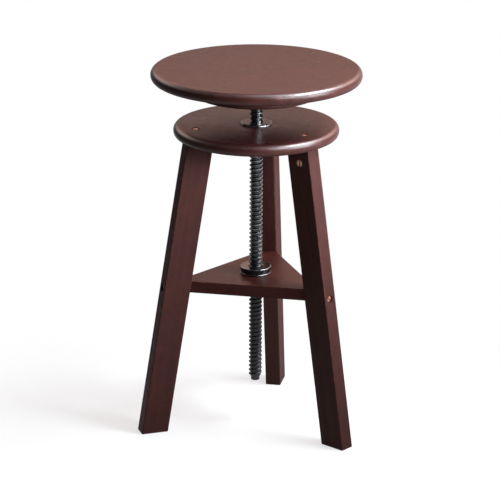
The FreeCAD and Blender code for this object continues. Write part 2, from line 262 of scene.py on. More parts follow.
def threadSteel(name, root, crest):  # darker in the root of the thread, rubbed bright on its crest, and painted lighter towards its top as painted light
    material, shader, place = startMaterial(name)
    z = place.parts()[2]
    edge = root + screwSkin["rubDepth"] * (crest - root)
    rubbed = place.reach().between(edge, crest) * z.between(*screwSkin["rubbed"])
    cloud = place.noise(screwSkin["cloud"], 3.0, 0.6)
    scratch = place.noise(screwSkin["scratch"])
    bright = rubbed * cloud.between(0.30, 0.62)
    # painted light: the skin turns lighter towards the top, where the seat shades the screw, as well as
    # with the wear where it runs in the nut
    workedAndLit = z.between(*screwSkin["workedAndLit"])
    skinAndLight = workedAndLit.tint(steel["scale"], steel["oxideAndLight"])
    shown = mixed(screwShare, {"cloud": cloud, "scratch": scratch, "bright": bright})
    plug(place.tree, shader, {
        "Base Color": shown.tint(skinAndLight, steel["bare"]),
        "Metallic": 1.0,
        "Roughness": screwSkin["gloss"] - 0.14 * workedAndLit - 0.08 * rubbed + 0.14 * (cloud - 0.5),
        "Normal": bumped(scratch + 0.6 * cloud, screwSkin["relief"]),
    })
    return material


plating = {
    "copper": {"deep": (0.52, 0.24, 0.16, 1.0), "bright": (0.95, 0.60, 0.47, 1.0), "gloss": 0.44},
    "zinc": {"deep": (0.42, 0.43, 0.43, 1.0), "bright": (0.66, 0.67, 0.68, 1.0), "gloss": 0.34},
    "cloud": 260.0,
    "grit": 2200.0,
    "relief": 0.00001,
}


def plated(metal):  # thin plating on small steel parts
    look = plating[metal]
    material, shader, place = startMaterial(metal + " plating")
    cloud = place.noise(plating["cloud"], 3.0, 0.6)
    grit = place.noise(plating["grit"])
    plug(place.tree, shader, {
        "Base Color": (0.7 * cloud + 0.3 * grit).between(0.3, 0.68).tint(look["deep"], look["bright"]),
        "Metallic": 1.0,
        "Roughness": look["gloss"] + 0.2 * (cloud - 0.5) + 0.06 * grit,
        "Normal": bumped(grit, plating["relief"]),
    })
    return material


nylon = {
    "deep": (0.016, 0.016, 0.018, 1.0),
    "pale": (0.032, 0.032, 0.034, 1.0),
    "gloss": 0.46,
    "cloud": 90.0,
    "grit": 1800.0,
    "relief": 0.00002,
}


def blackNylon(name):
    material, shader, place = startMaterial(name)
    cloud = place.noise(nylon["cloud"], 3.0)
    grit = place.noise(nylon["grit"])
    plug(place.tree, shader, {
        "Base Color": cloud.tint(nylon["deep"], nylon["pale"]),
        "Roughness": nylon["gloss"] + 0.14 * (grit - 0.5),
        "Normal": bumped(grit, nylon["relief"]),
    })
    return material


beech = {
    "deep": (0.44, 0.27, 0.145, 1.0),
    "pale": (0.62, 0.43, 0.26, 1.0),
    "ray": (0.30, 0.16, 0.08, 1.0),
    "gloss": 0.58,
    "fibre": (700.0, 700.0, 22.0),
    "fleck": (1500.0, 1500.0, 160.0),
    "relief": 0.00005,
}


def bareBeech(name):
    material, shader, place = startMaterial(name)
    fibre = place.noise(beech["fibre"], 3.0)
    fleck = place.noise(beech["fleck"], 1.0).between(0.6, 0.72)
    plug(place.tree, shader, {
        "Base Color": (0.5 * fleck).tint(fibre.tint(beech["deep"], beech["pale"]), beech["ray"]),
        "Roughness": beech["gloss"] + 0.16 * (fibre - 0.5),
        "Normal": bumped(fibre - 0.5 * fleck, beech["relief"]),
    })
    return material


# mesh tools

edgeRound = {
    "big": 0.003,  # rounds from here up are polished, smaller ones are edges that wear
    "bigSteps": 12,
    "steps": 4,
    "shineFrom": 0.30,  # height on a big round where its polish starts, as a share of the radius
    "shineOver": 0.35,
    "shineLeast": 0.06,
    "shineFade": 0.2,  # share at the top and bottom of a round where polish fades out
}
sharpAngle = math.radians(32)


def meshFrom(name, bm):
    mesh = bpy.data.meshes.new(name)
    bm.to_mesh(mesh)
    bm.free()
    return mesh


def shine(height):  # polish on a big round, at -1 for its bottom to 1 for its top
    rise = min(1.0, max(0.0, (height - edgeRound["shineFrom"]) / edgeRound["shineOver"]))
    fade = min(1.0, (1 - abs(height)) / edgeRound["shineFade"])
    return fade * (edgeRound["shineLeast"] + (1 - edgeRound["shineLeast"]) * rise)


def rounded(corners):  # (x, z, radius) corners become (x, z, arc number, polish) points
    points = []
    count = len(corners)
    for i, (x, z, radius) in enumerate(corners):
        here = Vector((x, z))
        if radius == 0:
            points.append((x, z, 0, 0.0))
            continue
        before = (Vector(corners[i - 1][:2]) - here).normalized()
        after = (Vector(corners[(i + 1) % count][:2]) - here).normalized()
        half = before.angle(after) / 2
        centre = here + (before + after).normalized() * (radius / math.sin(half))
        start = here + before * (radius / math.tan(half)) - centre
        end = here + after * (radius / math.tan(half)) - centre
        sweep = math.copysign(math.pi - 2 * half, start.cross(end))
        big = radius >= edgeRound["big"]
        arcSteps = edgeRound["bigSteps"] if big else edgeRound["steps"]
        for k in range(arcSteps + 1):
            offset = Matrix.Rotation(sweep * k / arcSteps, 2) @ start
            spot = centre + offset
            arc, polish = (0, shine(offset.y / radius)) if big else (i + 1, 0.0)
            points.append((spot.x, spot.y, arc, polish))
    return points


def turned(name, corners, steps=96, ring=False):  # (radius, height, rounding) corners, spun round Z
    outline = rounded(corners)
    bm = bmesh.new()
    wear = bm.faces.layers.float.new("wear")
    shineLayer = bm.verts.layers.float.new("polish")
    loops = []
    for r, z, _, polish in outline:
        angles = [2 * math.pi * i / steps for i in range(steps)] if r > 0 else [0.0]
        loops.append([bm.verts.new((r * math.cos(a), r * math.sin(a), z)) for a in angles])
        for vert in loops[-1]:
            vert[shineLayer] = polish
    for row in range(len(outline) if ring else len(outline) - 1):
        low, high = loops[row], loops[(row + 1) % len(loops)]
        arc, nextArc = outline[row][2], outline[(row + 1) % len(outline)][2]
        for i in range(steps):
            j = (i + 1) % steps
            spots = [low[i % len(low)], low[j % len(low)], high[j % len(high)], high[i % len(high)]]
            face = bm.faces.new(list(dict.fromkeys(spots)))
            face[wear] = 1.0 if arc and arc == nextArc else 0.0
    bmesh.ops.recalc_face_normals(bm, faces=bm.faces)
    return meshFrom(name, bm)


def newPiece(name, mesh):
    piece = bpy.data.objects.new(name, mesh)
    bpy.context.scene.collection.objects.link(piece)
    return piece


def settle(piece):  # the modifiers' result becomes the piece's own mesh
    graph = bpy.context.evaluated_depsgraph_get()
    evaluated = piece.evaluated_get(graph)
    mesh = bpy.data.meshes.new_from_object(evaluated, preserve_all_data_layers=True, depsgraph=graph)
    piece.modifiers.clear()
    piece.data = mesh


def joined(name, shapes):  # (mesh, matrix) pairs as one mesh
    bm = bmesh.new()
    for mesh, matrix in shapes:
        mesh.transform(matrix)
        bm.from_mesh(mesh)
        bpy.data.meshes.remove(mesh)
    return meshFrom(name, bm)


def cut(piece, shapes):
    cutter = newPiece("cutter", joined("cutter", shapes))
    modifier = piece.modifiers.new("cut", "BOOLEAN")
    modifier.object = cutter
    modifier.solver = "EXACT"
    settle(piece)
    bpy.data.objects.remove(cutter)


def finishPiece(piece, material, body, slot, *nodes):
    mesh = piece.data
    if material:  # a grown piece has its own already
        mesh.materials.clear()
        mesh.materials.append(material)
    mesh.shade_smooth()
    mesh.set_sharp_from_angle(angle=sharpAngle)
    modifier = piece.modifiers.new("even", "WEIGHTED_NORMAL")
    modifier.keep_sharp = True
    settle(piece)
    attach(piece, body)
    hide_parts(*nodes)
    print("piece:", piece.name, len(piece.data.polygons), "faces")


def about(angle, axis="Z"):
    return Matrix.Rotation(angle, 4, axis)


def shifted(x, y, z):
    return Matrix.Translation((x, y, z))


def flattened(mesh, reach):  # no polish on what lies inside the round edge
    slack = 0.0001
    polish = mesh.attributes["polish"].data
    for vert in mesh.vertices:
        if vert.co.xy.length < reach + slack:
            polish[vert.index].value = 0.0


drillBit = {"clear": 0.004, "steps": 40}


def drill(radius, depth, flare, matrix):  # hole down from the origin along -Z, eased at its mouth
    clear = drillBit["clear"]
    corners = [(0, -depth, 0), (radius, -depth, 0), (radius, -flare, 0), (radius + flare, 0, 0)]
    corners += [(radius + flare, clear, 0), (0, clear, 0)]
    return turned("drill", corners, drillBit["steps"]), matrix


# geometry node tools

def startTree(name, inputs):
    tree = bpy.data.node_groups.new(name, "GeometryNodeTree")
    tree.interface.new_socket("Geometry", in_out="INPUT", socket_type="NodeSocketGeometry")
    for label, kind in inputs.items():
        tree.interface.new_socket(label, in_out="INPUT", socket_type="NodeSocket" + kind)
    tree.interface.new_socket("Geometry", in_out="OUTPUT", socket_type="NodeSocketGeometry")
    source = addNode(tree, "NodeGroupInput", {}, {})
    return tree, {socket.name: Wire(tree, socket) for socket in source.outputs if socket.name}


def endTree(tree, geometry, material):
    whole = geometry.node("GeometryNodeRealizeInstances", {}, {"Geometry": geometry})
    dressed = whole.node("GeometryNodeSetMaterial", {}, {"Geometry": whole, "Material": material})
    addNode(tree, "NodeGroupOutput", {}, {"Geometry": dressed})


def grow(piece, tree, values):
    modifier = piece.modifiers.new(tree.name, "NODES")
    modifier.node_group = tree
    for item in tree.interface.items_tree:
        if item.in_out == "INPUT" and item.name in values:
            modifier[item.identifier] = values[item.name]
    settle(piece)


def ringTree():  # copies of one part round the stool's axis
    tree, given = startTree("around axis", {"Count": "Int", "First": "Float", "Material": "Material"})
    seeds = given["Count"].node("GeometryNodePoints", {}, {"Count": given["Count"]})
    index = seeds.node("GeometryNodeInputIndex")
    angle = given["First"] + index * (2 * math.pi) / given["Count"]
    turn = angle.node("ShaderNodeCombineXYZ", {}, {2: angle})
    spin = turn.node("FunctionNodeEulerToRotation", {}, {0: turn})
    sockets = {"Points": seeds, "Instance": given["Geometry"], "Rotation": spin}
    copies = seeds.node("GeometryNodeInstanceOnPoints", {}, sockets)
    endTree(tree, copies, given["Material"])
    return tree


def threadTree():  # one strip of thread, wound past both ends and trimmed there
    sizes = ["Pitch", "Root", "Crest", "Crest Width", "Root Width", "Bottom", "Top", "Lead In"]
    inputs = {label: "Float" for label in sizes}
    inputs.update({"Turns": "Int", "Steps": "Int", "Material": "Material"})
    tree, given = startTree("screw thread", inputs)
    bands = 5  # half root, flank, crest, flank, half root
    bandRows = 3
    startBelow = 1.5  # turns
    weld = 0.00002
    columns = given["Turns"] * given["Steps"] + 1
    sockets = {"Size X": 1.0, "Size Y": 1.0, "Vertices X": columns, "Vertices Y": bands * bandRows + 1}
    strip = columns.node("GeometryNodeMeshGrid", {}, sockets)
    u, v = strip.node("GeometryNodeInputPosition").parts()[:2]
    turn = (u + 0.5) * given["Turns"]
    band = (v + 0.5) * bands
    step = [band.node("ShaderNodeClamp", {}, {"Value": band - i}) for i in range(bands)]
    flank = (given["Pitch"] - given["Crest Width"] - given["Root Width"]) / 2
    rise = (step[1] - step[3]).between(0.0, 1.0)
    climb = (step[0] + step[4]) * given["Root Width"] / 2
    climb = climb + (step[1] + step[3]) * flank + step[2] * given["Crest Width"]
    level = given["Bottom"] + given["Pitch"] * (turn - startBelow) + climb
    level = level.maths("MAXIMUM", given["Bottom"]).maths("MINIMUM", given["Top"])
    radius = given["Root"] + rise * (given["Crest"] - given["Root"])
    radius = radius.maths("MINIMUM", given["Root"] - given["Lead In"] + level - given["Bottom"])
    radius = radius.maths("MINIMUM", given["Root"] + given["Top"] - level)
    angle = turn * (2 * math.pi)
    x = radius * angle.maths("COSINE")
    y = radius * angle.maths("SINE")
    spot = x.node("ShaderNodeCombineXYZ", {}, {0: x, 1: y, 2: level})
    wound = strip.node("GeometryNodeSetPosition", {}, {"Geometry": strip, "Position": spot})
    both = addNode(tree, "GeometryNodeJoinGeometry", {}, {})
    tree.links.new(given["Geometry"].socket, both.inputs[0])
    tree.links.new(wound.socket, both.inputs[0])
    whole = Wire(tree, both.outputs[0])
    whole = whole.node("GeometryNodeMergeByDistance", {}, {"Geometry": whole, "Distance": weld})
    endTree(tree, whole, given["Material"])
    return tree


ringAround = ringTree()
woundThread = threadTree()
blackTurned = turnedSteel("black turned steel")
copperPlate = plated("copper")
zincPlate = plated("zinc")
print("materials and trees ready")


# legs, which set where the shelf and the bolts go

legBar = {
    "splay": math.radians(9.3),
    "edge": 0.0015,
    "edgeSteps": 3,
    "foot": 0.001,
    "backWall": 0.004,  # wood left behind a barrel nut
    "grainShift": (0.3, 0.1),  # along and across, a radian, so that no two legs are alike
}
legTurns = {"leg_back": 90.0, "leg_left": 210.0, "leg_right": 330.0}
fitting = {
    "head": 0.005,
    "headHeight": 0.006,
    "headHole": 0.00575,
    "ease": 0.0006,
    "barrel": 0.006,
    "barrelFit": 0.0001,
    "steps": 48,
}
boltPart = {
    "shank": 0.003,
    "socket": 0.0022,
    "socketDepth": 0.003,
    "socketPoint": 0.0008,  # drill's point at the socket's bottom
    "edge": 0.0010,
    "rise": 0.0006,  # the disc's heads
    "sink": 0.0016,  # the legs' heads
    "pastNut": 0.004,
}
barrelPart = {"edge": 0.0005, "slotWidth": 0.0030, "slotDepth": 0.0030, "sink": 0.0014}

legLow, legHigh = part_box("leg_back")
legHeight = legHigh.z
legHalf = legHigh.x
legSlope = math.tan(legBar["splay"])
legFoot = legHigh.y + legBar["foot"] * legSlope
legDepth = legFoot - legLow.y - legHeight * legSlope
discLow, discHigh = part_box("base_top_disc")
shelfLow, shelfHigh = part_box("shelf")
legBoltLow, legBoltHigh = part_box("leg_bolts")
legNutLow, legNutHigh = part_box("leg_barrel_nuts")
shelfBoltLow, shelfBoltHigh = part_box("shelf_bolts")
shelfNutLow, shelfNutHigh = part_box("shelf_barrel_nuts")
legBoltCircle = legBoltHigh.y - fitting["head"]
legNutLevel = (legNutLow.z + legNutHigh.z) / 2
legNutDepth = 2 * legHalf - legBar["backWall"]
shelfBoltLevel = (shelfBoltLow.z + shelfBoltHigh.z) / 2
shelfNutCircle = shelfNutHigh.y - fitting["barrel"]
barrelHole = fitting["barrel"] + fitting["barrelFit"]


def outerFace(z):
    return legFoot - z * legSlope


def innerFace(z):
    return outerFace(z) - legDepth


def easeEdges(bm, edges, width, steps):
    wear = bm.faces.layers.float.new("wear")
    made = bmesh.ops.bevel(bm, geom=edges, offset=width, segments=steps, profile=0.5, affect="EDGES")
    for face in made["faces"]:
        face[wear] = 1.0


def prism(name, low, high, pickEdges, board):  # two outlines of equal length, joined
    bm = bmesh.new()
    bottom = [bm.verts.new(spot) for spot in low]
    top = [bm.verts.new(spot) for spot in high]
    bm.faces.new(bottom)
    bm.faces.new(top)
    for i in range(len(low)):
        bm.faces.new([bottom[i - 1], bottom[i], top[i], top[i - 1]])
    bmesh.ops.recalc_face_normals(bm, faces=bm.faces)
    easeEdges(bm, [edge for edge in bm.edges if pickEdges(edge)], board["edge"], board["edgeSteps"])
    return meshFrom(name, bm)


def legMesh(name):
    side = [(innerFace(0), 0), (outerFace(0), 0), (outerFace(legHeight), legHeight)]
    side += [(innerFace(legHeight), legHeight)]
    near = [(x, -legHalf, z) for x, z in side]
    far = [(x, legHalf, z) for x, z in side]
    topLevel = legHeight - legBar["edge"]
    notTop = lambda edge: min(v.co.z for v in edge.verts) < topLevel
    return prism(name, near, far, notTop, legBar)


def makeLeg(node):
    angle = math.radians(legTurns[node])
    leg = newPiece(node.replace("_", ".") + ".bar", legMesh(node))
    nutSide = shifted(legBoltCircle, -legHalf, legNutLevel) @ about(math.pi / 2, "X")
    boltSide = shifted(outerFace(shelfBoltLevel), 0, shelfBoltLevel) @ about(math.pi / 2, "Y")
    boltDepth = outerFace(shelfBoltLevel) - shelfBoltHigh.y + boltPart["sink"] + fitting["headHeight"]
    shapes = [drill(barrelHole, legNutDepth, fitting["ease"], nutSide)]
    shapes += [drill(fitting["headHole"], boltDepth, fitting["ease"], boltSide)]
    cut(leg, shapes)
    leg.data.transform(about(angle))
    turn = (0.0, -math.pi / 2 - legBar["splay"], angle)
    along, across = legBar["grainShift"]
    shift = (along * angle, across * angle, 0.0)
    wood = stainedWood("stained " + node.replace("_", " "), turn, shift, legFinish)
    finishPiece(leg, wood, "base", "stained_wood", node)


for node in legTurns:
    makeLeg(node)
print("legs done")


# round boards

seatBoard = {
    "land": 0.001,
    "steps": 160,
    "grain": math.radians(4),
    "grainShift": (0.0, 0.013, 0.0),
    "dull": (0.002, 0.008),  # above its underside
}
cleatBoard = {
    "round": 0.005,
    "topRound": 0.001,
    "steps": 128,
    "grain": math.radians(88),
    "grainShift": (0.21, 0.05, 0.0),
    "dull": (0.0, 0.002),  # above its top, so all of it is dull
}
discBoard = {
    "land": 0.001,
    "steps": 144,
    "grain": math.radians(-3),
    "grainShift": (0.4, 0.31, 0.0),
    "dull": (0.002, 0.008),  # above its underside
}
cleatScrew = {"count": 6, "circle": 0.076, "head": 0.0048, "shank": 0.0025, "clear": 0.002, "steps": 24}
sleeve = {"overhang": 0.00895, "fit": 0.00005, "bushGap": 0.0003, "mouthGap": 0.0011}
bore = {"gap": 0.0005, "past": 0.004, "flare": 0.0003}
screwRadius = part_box("lead_screw")[1].x
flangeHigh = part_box("upper_flange_nut")[1]
sleeveRadius = flangeHigh.x - sleeve["overhang"]
sleeveHole = sleeveRadius + sleeve["fit"]


def bullnose(low, high, land):
    edge = (high.z - low.z - land) / 2
    return [(0, low.z, 0), (high.x, low.z, edge), (high.x, high.z, edge), (0, high.z, 0)]


def through(radius, low, high):  # bore right through a board
    return drill(radius, high - low + bore["past"], bore["flare"], shifted(0, 0, high))


def boardWood(name, board, finish, level):  # level is the height that its dull band is given from
    dull = [level + rise for rise in board["dull"]]
    return stainedWood(name, (0.0, 0.0, board["grain"]), board["grainShift"], finish, dull)


def makeSeat():
    low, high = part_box("seat")
    corners = bullnose(low, high, seatBoard["land"])
    seat = newPiece("seat.board", turned("seat", corners, seatBoard["steps"]))
    wood = boardWood("stained seat", seatBoard, boardFinish, low.z)
    finishPiece(seat, wood, "seat_screw", "stained_wood", "seat")


def makeCleat():
    low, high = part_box("seat_cleat")
    corners = [(0, low.z, 0), (high.x, low.z, cleatBoard["round"])]
    corners += [(high.x, high.z, cleatBoard["topRound"]), (0, high.z, 0)]
    cleat = newPiece("cleat.board", turned("cleat", corners, cleatBoard["steps"]))
    shapes = [through(screwRadius + bore["gap"], low.z, high.z)]
    head, shank, clear = cleatScrew["head"], cleatScrew["shank"], cleatScrew["clear"]
    reach = high.z - low.z
    for i in range(cleatScrew["count"]):
        hole = [(0, reach, 0), (shank, reach, 0), (shank, head - shank, 0)]
        hole += [(head, 0, 0), (head, -clear, 0), (0, -clear, 0)]
        spot = about(2 * math.pi * i / cleatScrew["count"]) @ shifted(cleatScrew["circle"], 0, low.z)
        shapes.append((turned("sink", hole, cleatScrew["steps"]), spot))
    cut(cleat, shapes)
    flattened(cleat.data, high.x - cleatBoard["round"])
    wood = boardWood("stained cleat", cleatBoard, boardFinish, high.z)
    finishPiece(cleat, wood, "seat_screw", "stained_wood", "seat_cleat")


def makeDisc():
    low, high = discLow, discHigh
    corners = bullnose(low, high, discBoard["land"])
    disc = newPiece("top.disc", turned("disc", corners, discBoard["steps"]))
    shapes = [through(sleeveHole, low.z, high.z)]
    depth = high.z - legBoltHigh.z + fitting["headHeight"]
    for angle in legTurns.values():
        spot = about(math.radians(angle)) @ shifted(legBoltCircle, 0, high.z)
        shapes.append(drill(fitting["headHole"], depth, fitting["ease"], spot))
    cut(disc, shapes)
    flattened(disc.data, high.x - (high.z - low.z - discBoard["land"]) / 2)
    wood = boardWood("stained top disc", discBoard, boardFinish, low.z)
    finishPiece(disc, wood, "base", "stained_wood", "base_top_disc")


makeSeat()
makeCleat()
makeDisc()
print("round boards done")


# shelf

shelfBoard = {
    "edge": 0.001,
    "edgeSteps": 3,
    "grain": math.radians(2),
    "grainShift": (0.13, 0.22, 0.0),
    "dull": (-0.0015, -0.0002),  # from its top down
}


def shelfOutline(z):
    side = -shelfLow.y
    reach = innerFace(z)
    half = (side - reach / 2) / math.sin(math.radians(60))
    spots = []
    for angle in legTurns.values():
        turn = about(math.radians(angle))
        spots += [turn @ Vector((reach, -half, z)), turn @ Vector((reach, half, z))]
    return spots


def makeShelf():
    isLong = lambda edge: edge.calc_length() > -shelfLow.y
    low, high = shelfOutline(shelfLow.z), shelfOutline(shelfHigh.z)
    shelf = newPiece("shelf.board", prism("shelf", low, high, isLong, shelfBoard))
    shapes = [through(sleeveHole, shelfLow.z, shelfHigh.z)]
    nutDepth = shelfNutHigh.z - shelfLow.z
    for angle in legTurns.values():
        spot = about(math.radians(angle)) @ shifted(shelfNutCircle, 0, shelfLow.z) @ about(math.pi, "X")
        shapes.append(drill(barrelHole, nutDepth, fitting["ease"], spot))
    cut(shelf, shapes)
    wood = boardWood("stained shelf", shelfBoard, shelfFinish, shelfHigh.z)
    finishPiece(shelf, wood, "base", "stained_wood", "shelf")


makeShelf()
print("shelf done")


# lead screw

leadScrew = {
    "pitch": 0.007,
    "depth": 0.0023,
    "crest": 0.0016,
    "root": 0.0018,
    "leadIn": 0.001,
    "neckStep": 0.0012,  # both ends are turned down by this
    "tipLength": 0.006,
    "tipRound": 0.001,
    "intoCleat": 0.004,
    "spareTurns": 3,  # wound past the ends and trimmed
    "steps": 40,
}


def makeScrew():
    low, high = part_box("lead_screw")
    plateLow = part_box("screw_plate")[0].z
    bottom = low.z + leadScrew["tipLength"]
    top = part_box("seat_cleat")[0].z + leadScrew["intoCleat"]
    crest = high.x
    root = crest - leadScrew["depth"]
    neck = root - leadScrew["neckStep"]
    steps = leadScrew["steps"]
    lower = [(0, low.z, 0), (neck, low.z, leadScrew["tipRound"]), (neck, bottom, 0)]
    lower += [(root - leadScrew["leadIn"], bottom, 0)]
    upper = [(root, top, 0), (root, plateLow, 0), (neck, plateLow, 0)]
    upper += [(neck, high.z, 0), (0, high.z, 0)]
    ends = [(turned("tip", lower, steps), Matrix()), (turned("shank", upper, steps), Matrix())]
    screw = newPiece("screw.bar", joined("screw", ends))
    grow(screw, woundThread, {
        "Pitch": leadScrew["pitch"],
        "Root": root,
        "Crest": crest,
        "Crest Width": leadScrew["crest"],
        "Root Width": leadScrew["root"],
        "Bottom": bottom,
        "Top": top,
        "Lead In": leadScrew["leadIn"],
        "Turns": math.ceil((top - bottom) / leadScrew["pitch"]) + leadScrew["spareTurns"],
        "Steps": steps,
        "Material": threadSteel("black screw steel", root, crest),
    })
    bm = bmesh.new()
    bm.from_mesh(screw.data)
    bmesh.ops.recalc_face_normals(bm, faces=bm.faces)
    bm.to_mesh(screw.data)
    bm.free()
    finishPiece(screw, None, "seat_screw", "black_steel", "lead_screw")


makeScrew()
print("screw done")


# round steel fittings

flange = {"thickness": 0.003, "bevel": 0.0013, "ease": 0.0003, "rim": 0.0021, "bore": 0.00035}
ringNut = {"edge": 0.0009, "lip": 0.002, "ease": 0.0004}
washer = {"edge": 0.0007, "ease": 0.0003}
fittingSteps = 112


def upended(corners, level):  # the same outline turned over, with its zero at the level
    return [(r, level - z, rounding) for r, z, rounding in corners]


def raised(corners, level):
    return [(r, level + z, rounding) for r, z, rounding in corners]


def makeFitting(name, node, corners):
    piece = newPiece(name, turned(name, corners, fittingSteps, ring=True))
    finishPiece(piece, blackTurned, "base", "black_steel", node)


def flangeCorners(sleeveLength, inner, mouth):
    edge = flangeHigh.x
    thick = flange["thickness"]
    return [
        (inner, -sleeveLength, 0),
        (sleeveRadius, -sleeveLength, flange["ease"]),
        (sleeveRadius, 0, 0),
        (edge, 0, flange["ease"]),
        (edge, thick - flange["bevel"], flange["rim"]),
        (edge - flange["bevel"], thick, flange["rim"]),
        (mouth, thick, flange["ease"]),
        (mouth, 0, 0),
        (inner, 0, 0),
    ]


def ringNutCorners(node):
    low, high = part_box(node)
    height = high.z - low.z
    mouth = screwRadius + sleeve["mouthGap"]
    edge = high.x
    return [
        (sleeveHole, 0, 0),
        (edge, 0, ringNut["ease"]),
        (edge, height, ringNut["edge"]),
        (mouth, height, ringNut["edge"]),
        (mouth, height - ringNut["lip"], 0),
        (sleeveHole, height - ringNut["lip"], 0),
    ]


def washerCorners(node):
    low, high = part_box(node)
    height = high.z - low.z
    edge = high.x
    corners = [(sleeveHole, 0, 0), (edge, 0, washer["ease"])]
    return corners + [(edge, height, washer["edge"]), (sleeveHole, height, 0)]


def makeFittings():
    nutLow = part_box("upper_flange_nut")[0]
    inner = screwRadius + flange["bore"]
    corners = flangeCorners(discHigh.z - nutLow.z, inner, inner)
    corners = [corner for corner in corners if corner[:2] != (inner, 0)]  # no step in a straight bore
    makeFitting("flange.nut", "upper_flange_nut", raised(corners, discHigh.z))
    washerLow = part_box("upper_washer")[0].z
    makeFitting("under.washer", "upper_washer", upended(washerCorners("upper_washer"), discLow.z))
    makeFitting("under.ringnut", "upper_ring_nut", upended(ringNutCorners("upper_ring_nut"), washerLow))
    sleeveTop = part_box("shelf_sleeve")[1].z
    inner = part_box("guide_bush")[1].x + sleeve["bushGap"]
    corners = flangeCorners(sleeveTop - shelfLow.z, inner, screwRadius + sleeve["mouthGap"])
    makeFitting("shelf.sleeve", "shelf_sleeve", upended(corners, shelfLow.z))
    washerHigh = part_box("shelf_washer")[1].z
    makeFitting("collar.washer", "shelf_washer", raised(washerCorners("shelf_washer"), shelfHigh.z))
    corners = ringNutCorners("shelf_ring_nut")
    makeFitting("collar.ringnut", "shelf_ring_nut", raised(corners, washerHigh))


makeFittings()
print("fittings done")


# bolts and barrel nuts, one made and then set at each leg

def boltMesh(name, length):  # head on top at z = 0, shank down
    head = fitting["head"]
    under = -fitting["headHeight"]
    shank = boltPart["shank"]
    corners = [
        (0, under - length, 0),
        (shank, under - length, boltPart["edge"]),
        (shank, under, 0),
        (head, under, 0),
        (head, 0, boltPart["edge"]),
        (0, 0, 0),
    ]
    bolt = newPiece(name, turned(name, corners, fitting["steps"]))
    corner = boltPart["socket"] / math.cos(math.pi / 6)
    deep = boltPart["socketDepth"]
    clear = 0.001
    hexagon = [(0, -deep - boltPart["socketPoint"], 0), (corner, -deep, 0)]
    hexagon += [(corner, clear, 0), (0, clear, 0)]
    cut(bolt, [(turned("socket", hexagon, 6), Matrix())])
    return bolt


def barrelMesh(name, length, slotTurn=0.0):  # slotted end on top at z = 0
    radius = fitting["barrel"]
    edge = barrelPart["edge"]
    corners = [(0, -length, 0), (radius, -length, edge), (radius, 0, edge), (0, 0, 0)]
    barrel = newPiece(name, turned(name, corners, fitting["steps"]))
    bm = bmesh.new()
    bmesh.ops.create_cube(bm, size=1.0)
    scale = Matrix.Diagonal((4 * radius, barrelPart["slotWidth"], 2 * barrelPart["slotDepth"], 1.0))
    cut(barrel, [(meshFrom("slot", bm), about(slotTurn) @ scale)])
    return barrel


def setAround(piece, place, node):
    piece.data.transform(place)
    first = math.radians(legTurns["leg_back"])
    grow(piece, ringAround, {"Count": len(legTurns), "First": first, "Material": copperPlate})
    finishPiece(piece, None, "base", "copper_plate", node)


def makeFasteners():
    top = legBoltHigh.z + boltPart["rise"]
    legBolt = boltMesh("disc.bolts", top - legBoltLow.z - fitting["headHeight"])
    setAround(legBolt, shifted(legBoltCircle, 0, top), "leg_bolts")
    sink = barrelPart["sink"]
    legNut = barrelMesh("leg.crossnuts", legNutDepth - sink, math.pi / 2)
    side = shifted(legBoltCircle, sink - legHalf, legNutLevel) @ about(math.pi / 2, "X")
    setAround(legNut, side, "leg_barrel_nuts")
    end = shelfBoltHigh.y - boltPart["sink"]
    nutReach = fitting["barrel"] + boltPart["pastNut"]
    shelfBolt = boltMesh("shelf.bolts", end - fitting["headHeight"] - shelfNutCircle + nutReach)
    outward = shifted(end, 0, shelfBoltLevel) @ about(math.pi / 2, "Y")
    setAround(shelfBolt, outward, "shelf_bolts")
    shelfNut = barrelMesh("shelf.crossnuts", shelfNutHigh.z - shelfNutLow.z)
    below = shifted(shelfNutCircle, 0, shelfNutLow.z) @ about(math.pi, "X")
    setAround(shelfNut, below, "shelf_barrel_nuts")


makeFasteners()
print("fasteners done")


# parts kept as they are, with their finish

keptParts = {
    "screw_plate": blackTurned,
    "plate_screws": zincPlate,
    "cleat_screws": zincPlate,
    "guide_bush": blackNylon("black nylon"),
    "leg_dowels": bareBeech("bare beech"),
}
for node, material in keptParts.items():
    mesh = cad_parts[node].data
    mesh.materials.clear()
    mesh.materials.append(material)
print("kept parts done")


# stage, light and camera

stage = {
    "floorSize": 40.0,
    "floorWhite": 0.38,
    "floorGlow": 0.67,
    "floorTint": (0.94, 1.0, 1.02),
    "floorGrey": 0.05,
    "near": (0.22, 0.62),  # distances over which the shadows give way to plain white
    "shade": 0.22,  # the floor's level in reflections, left and front, away from the lamps
    "laneHalf": 0.48,
    "laneSpread": 0.093,
    "laneFade": (0.0, 0.45),
    "front": (0.7, 0.5),
    "frontFade": (0.42, 0.75),
    "lightSide": (0.30, 0.86, 0.40),
    "wall": (1.0, 0.60, 0.50, 1.0),  # warm wall behind
    "wallTurn": (-0.35, 0.85),
    "wallFoot": (0.22, 0.34),
    "wallTop": (0.52, 0.72),
    "dim": 0.06,
    "lit": 2.3,
}
shot = {
    "azimuth": math.radians(11.424),
    "far": 3.8467,
    "height": 1.5548,
    "down": math.radians(18.239),
    "roll": math.radians(0.2488),
    "focal": 2549.0,  # pixels of a 500 pixel frame
    "centre": 255.76,  # pixel column of the stool's axis
    "frame": 500.0,
    "sensor": 36.0,
    "clip": 60.0,
}
